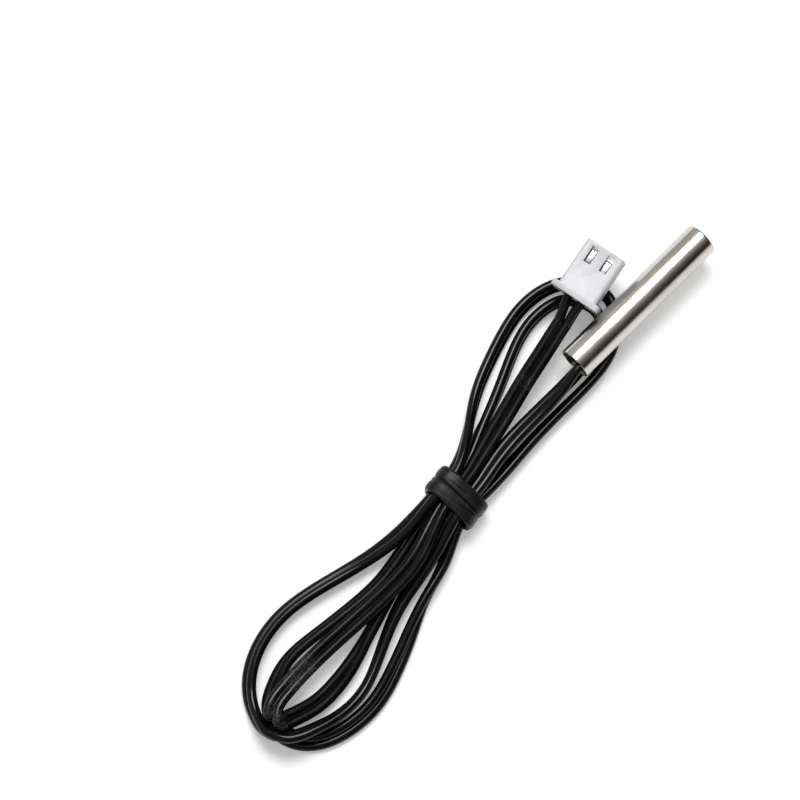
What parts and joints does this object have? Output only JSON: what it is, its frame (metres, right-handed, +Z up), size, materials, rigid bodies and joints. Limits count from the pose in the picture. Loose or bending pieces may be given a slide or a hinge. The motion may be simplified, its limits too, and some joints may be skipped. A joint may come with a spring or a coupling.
{
  "type": "resistance temperature probe",
  "caption": "Closed steel sleeve holding a sensing chip, on a flat twin cable folded into a tied hank and ending in a crimp plug.",
  "frame": {"origin": "centre of the flat end face at the sleeve's closed tip", "axes": "+X along the sleeve's axis, out of the tip; +Y across the sleeve on the side where the plug lies; +Z up from the surface that the cable lies on"},
  "size_m": [0.0901, 0.0258, 0.0093],
  "materials": {
    "polished_steel": "polished",
    "black_epoxy": "glossy",
    "white_ceramic": "matte fired ceramic",
    "glass_glaze": "glossy opaque glaze",
    "lead_wire": "drawn wire",
    "solder": "satin",
    "sleeving": "translucent satin",
    "copper_strand": "drawn wire",
    "black_insulation": "soft sheen",
    "tinned_contact": "tin plated",
    "white_nylon": "moulded satin",
    "black_band": "satin"
  },
  "bodies": {
    "root": {"probe_sleeve": "polished_steel", "potting_compound": "black_epoxy", "rtd_substrate": "white_ceramic", "rtd_glass_cover": "glass_glaze", "element_lead_a": "lead_wire", "element_lead_b": "lead_wire", "solder_joint_a": "solder", "solder_joint_b": "solder", "lead_sleeving_a": "sleeving", "lead_sleeving_b": "sleeving", "probe_conductor_a": "copper_strand", "probe_conductor_b": "copper_strand", "cable": "black_insulation", "split_core_a": "black_insulation", "split_core_b": "black_insulation", "plug_conductor_a": "copper_strand", "plug_conductor_b": "copper_strand", "contact_a": "tinned_contact", "contact_b": "tinned_contact", "plug_housing": "white_nylon", "hank_tie": "black_band"}
  },
  "joints": []
}
